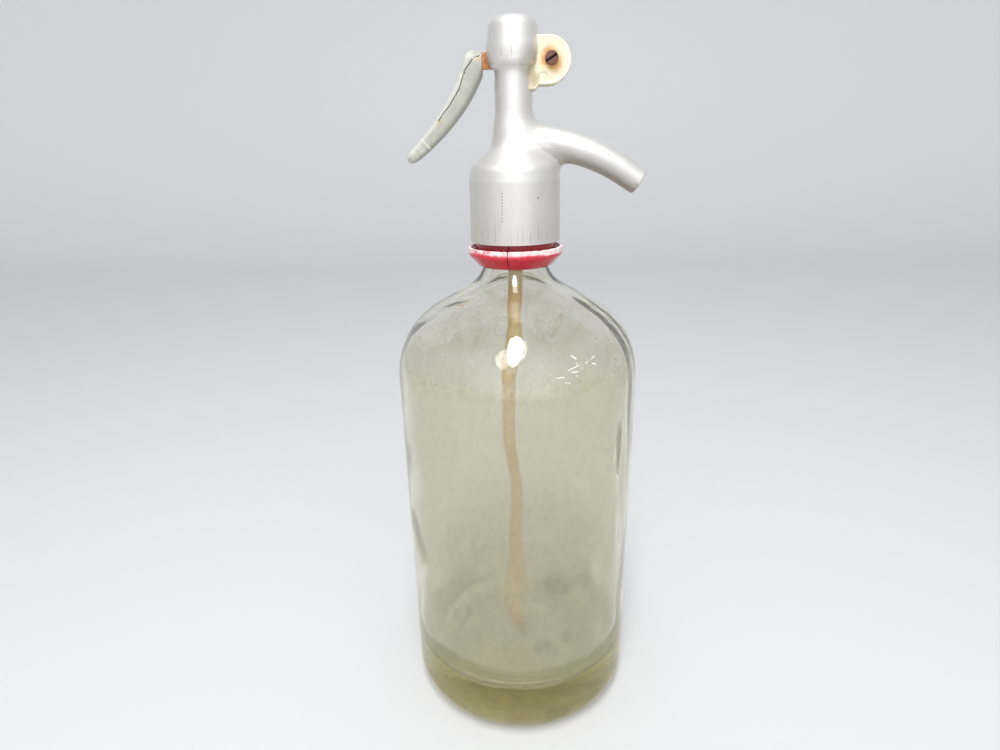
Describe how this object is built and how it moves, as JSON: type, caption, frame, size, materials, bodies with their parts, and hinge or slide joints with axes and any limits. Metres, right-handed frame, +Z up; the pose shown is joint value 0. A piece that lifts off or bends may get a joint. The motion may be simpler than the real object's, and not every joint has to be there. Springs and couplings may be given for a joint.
{
  "type": "soda siphon",
  "caption": "Glass soda siphon: a thick bottle with a cast metal head, a spring-return lever valve, a curved spout, a split collar and a dip tube.",
  "frame": {"origin": "centre of the bottle's foot, on the surface that it stands on", "axes": "+Z up along the bottle, +X towards the spout, -Y towards the screw's head and the viewer"},
  "size_m": [0.1036, 0.103, 0.2965],
  "materials": {
    "glass": "thick, cloudy and worn",
    "red_plastic": "glossy, with a worn lip",
    "cast_aluminium": "satin, with fine scratches",
    "ivory_plastic": "aged",
    "rusty_screw": "rusted dark",
    "rusty_steel": "rusted orange",
    "grey_plastic": "aged, with a crack",
    "brass": "dull",
    "spring_steel": "plain",
    "black_rubber": "plain",
    "fibre": "plain",
    "holder_plastic": "plain",
    "ochre_plastic": "opaque, aged"
  },
  "bodies": {
    "root": {"bottle": "glass", "collar_left": "red_plastic", "collar_right": "red_plastic", "head_casting": "cast_aluminium", "hinge_block": "ivory_plastic", "pivot_screw": "rusty_screw", "pivot_nut": "rusty_screw", "return_spring": "spring_steel", "gland_follower": "brass", "gland_packing": "black_rubber", "stem_oring": "black_rubber", "valve_body": "brass", "body_washer": "fibre", "head_gasket": "black_rubber", "tube_holder": "holder_plastic", "neck_gasket": "black_rubber", "tube_bush": "black_rubber", "tube_nut": "holder_plastic", "dip_tube": "ochre_plastic"},
    "lever": {"lever_arm": "rusty_steel", "lever_grip": "grey_plastic"},
    "spindle": {"spring_cap": "brass", "valve_spindle": "brass", "valve_washer": "black_rubber", "washer_cup": "brass", "spindle_nut": "brass"}
  },
  "joints": [
    {"name": "lever_pivot", "type": "hinge", "parent": "root", "child": "lever", "pos_m": [0.0142, 0, 0.28171], "axis": [0, -1, 0], "range_deg": [0, 10], "stiffness_Nm_per_rad": 1.12, "springref_deg": -8.02},
    {"name": "valve_slide", "type": "slide", "parent": "root", "child": "spindle", "axis": [0, 0, -1], "range_m": [0, 0.00248], "deforming": ["return_spring"]}
  ],
  "couplings": [
    {"joint": "valve_slide", "follows": "lever_pivot", "m_per_rad": 0.0142}
  ]
}
